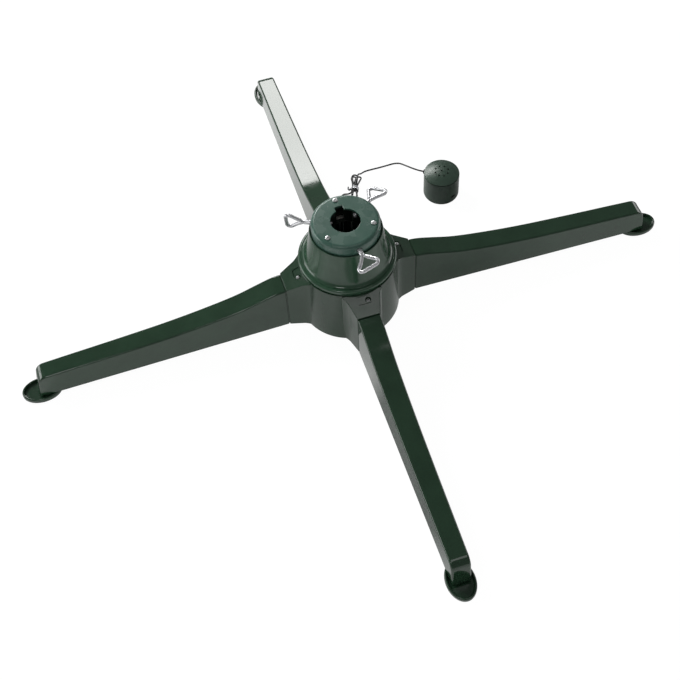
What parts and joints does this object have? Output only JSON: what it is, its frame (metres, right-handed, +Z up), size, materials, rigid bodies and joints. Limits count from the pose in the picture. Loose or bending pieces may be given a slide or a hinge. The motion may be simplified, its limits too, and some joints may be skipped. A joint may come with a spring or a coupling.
{
  "type": "rotating christmas tree stand",
  "caption": "Low rotating tree stand with curved legs on oval feet, a geared turning collar with clamp bolts for the trunk pole, and a small round sound box on a thin lead.",
  "frame": {"origin": "on the floor, on the axis of rotation, at the middle of the four feet", "axes": "+Z up along the pole's axis; +X along the right leg, +Y along the far leg"},
  "size_m": [0.853, 0.853, 0.1765],
  "materials": {
    "green_plastic": "moulded dark green plastic, semi-gloss",
    "zinc_steel": "zinc plated steel",
    "bright_zinc": "bright zinc plated wire",
    "white_nylon": "natural nylon",
    "brass": "pressed brass",
    "black_rubber": "soft black rubber",
    "lead_jacket": "thin PVC jacket",
    "tie_foil": "silvery coated wire tie",
    "circuit_board": "circuit board with solder mask",
    "black_plastic": "black moulded plastic",
    "paper_cone": "black paper pulp"
  },
  "bodies": {
    "root": {"base_housing": "green_plastic", "bottom_cover": "green_plastic", "bottom_cover_screws": "zinc_steel", "housing_screws": "zinc_steel", "bell_cover": "green_plastic", "upper_bush": "white_nylon", "gear_deck": "zinc_steel", "leg_left": "green_plastic", "leg_right": "green_plastic", "leg_near": "green_plastic", "leg_far": "green_plastic", "leg_screws": "zinc_steel", "foot_left": "green_plastic", "foot_right": "green_plastic", "foot_near": "green_plastic", "foot_far": "green_plastic", "foot_screws": "zinc_steel", "motor": "zinc_steel", "motor_screws": "zinc_steel", "power_board": "circuit_board", "power_board_screws": "zinc_steel", "inner_leads": "lead_jacket", "mains_gland": "black_rubber", "lead_gland": "black_rubber", "sound_case": "green_plastic", "sound_lid": "green_plastic", "sound_driver": "black_plastic", "sound_cone": "paper_cone", "sound_board": "circuit_board", "switch_block": "zinc_steel", "sound_grommet": "black_rubber", "lead_from_stand": "lead_jacket", "lead_hank": "lead_jacket", "lead_to_box": "lead_jacket", "lead_tie": "tie_foil"},
    "rotor": {"pole_tube": "green_plastic", "pole_seat": "black_rubber", "drive_gear": "white_nylon", "drive_gear_screws": "zinc_steel", "clamp_nuts": "zinc_steel", "collar_cap": "green_plastic", "collar_screws": "zinc_steel"},
    "eye_left": {"eye_bolt_left": "bright_zinc"},
    "eye_right": {"eye_bolt_right": "bright_zinc"},
    "eye_front": {"eye_bolt_front": "bright_zinc"},
    "cage": {"ball_cage": "brass", "bearing_balls": "zinc_steel"},
    "drive_pinion": {"pinion": "white_nylon", "motor_shaft": "zinc_steel"},
    "slider": {"switch_slider": "black_plastic"}
  },
  "joints": [
    {"name": "stand_rotation", "type": "hinge", "parent": "root", "child": "rotor", "pos_m": [0, 0, 0], "axis": [0, 0, 1], "continuous": true},
    {"name": "pinion_spin", "type": "hinge", "parent": "root", "child": "drive_pinion", "pos_m": [0.0462, 0, 0], "axis": [0, 0, 1], "continuous": true},
    {"name": "cage_spin", "type": "hinge", "parent": "root", "child": "cage", "pos_m": [0, 0, 0], "axis": [0, 0, 1], "continuous": true},
    {"name": "eye_left_slide", "type": "slide", "parent": "rotor", "child": "eye_left", "axis": [-0.9063, 0.4226, 0], "range_m": [-0.003, 0.009]},
    {"name": "eye_right_slide", "type": "slide", "parent": "rotor", "child": "eye_right", "axis": [0.8192, 0.5736, 0], "range_m": [-0.003, 0.009]},
    {"name": "eye_front_slide", "type": "slide", "parent": "rotor", "child": "eye_front", "axis": [0.0872, -0.9962, 0], "range_m": [-0.003, 0.009]},
    {"name": "switch_slide", "type": "slide", "parent": "root", "child": "slider", "axis": [0.9272, 0.3746, 0], "range_m": [0, 0.003]}
  ],
  "couplings": [
    {"joint": "pinion_spin", "follows": "stand_rotation", "ratio": -5},
    {"joint": "cage_spin", "follows": "stand_rotation", "ratio": 0.5}
  ]
}
